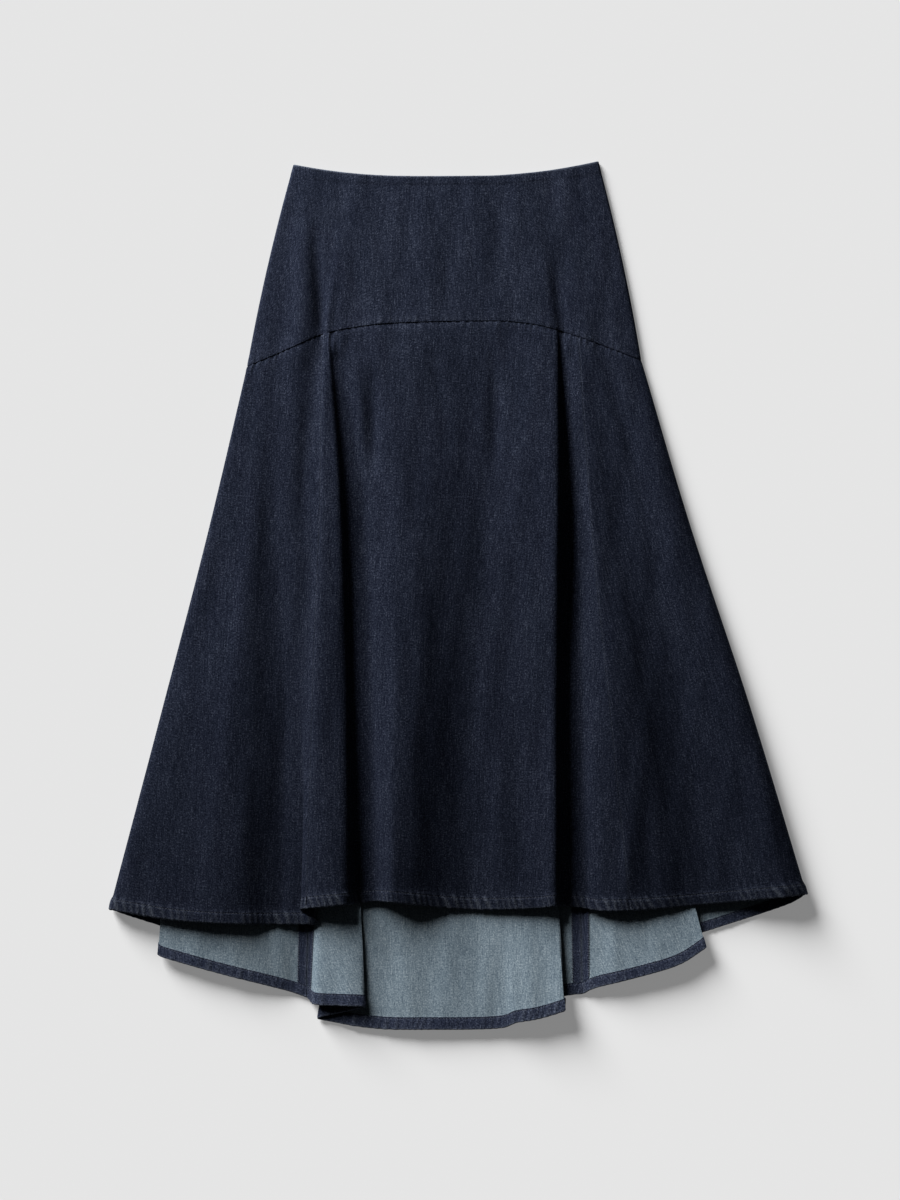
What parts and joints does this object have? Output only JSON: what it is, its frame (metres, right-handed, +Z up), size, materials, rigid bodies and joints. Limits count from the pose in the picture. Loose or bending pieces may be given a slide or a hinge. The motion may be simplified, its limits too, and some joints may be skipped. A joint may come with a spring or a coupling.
{
  "type": "denim midi skirt with a dipped back hem",
  "caption": "Flared denim skirt laid flat: hip yoke over an arched seam, panels in soft folds, and a dipped back hem that shows its pale inside below the front.",
  "frame": {"origin": "on the surface that the skirt lies on, under the middle of its outline", "axes": "+X to the right as seen from above, +Y towards the waist, +Z up from the surface"},
  "size_m": [0.78, 0.9724, 0.034],
  "materials": {
    "denim": "matte, dark indigo twill with a pale grey-blue inside"
  },
  "bodies": {
    "root": {"yoke_front": "denim", "yoke_back": "denim", "front_left": "denim", "front_center": "denim", "front_right": "denim", "back_left": "denim", "back_center": "denim", "back_right": "denim"}
  },
  "joints": []
}
